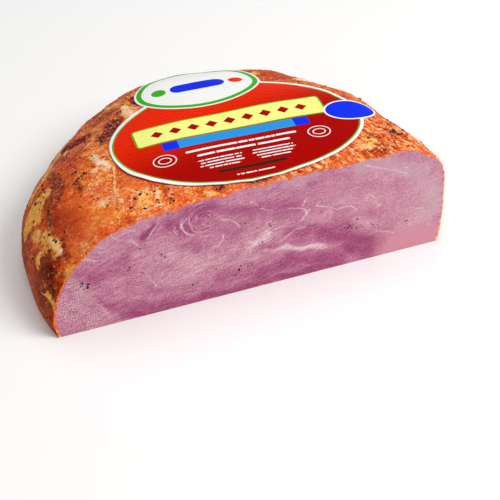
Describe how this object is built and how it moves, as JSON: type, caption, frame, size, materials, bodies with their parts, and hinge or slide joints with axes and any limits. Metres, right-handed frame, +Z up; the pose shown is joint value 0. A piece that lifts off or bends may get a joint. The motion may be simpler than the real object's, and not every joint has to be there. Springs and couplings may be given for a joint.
{
  "type": "roast ham",
  "caption": "Low domed roast ham, cut straight across, with lumpy browned skin, herb and pepper flakes and a thin oval label on top.",
  "frame": {"origin": "middle of the base, on the surface that the ham rests on", "axes": "+X along the cut face from its left end to its right end, +Y from the cut face into the ham, +Z up"},
  "size_m": [0.2688, 0.1996, 0.0868],
  "materials": {
    "roasted_skin": "moist, uneven",
    "label_print": "coated, slight gloss"
  },
  "bodies": {
    "root": {"ham": "roasted_skin", "label": "label_print"}
  },
  "joints": []
}
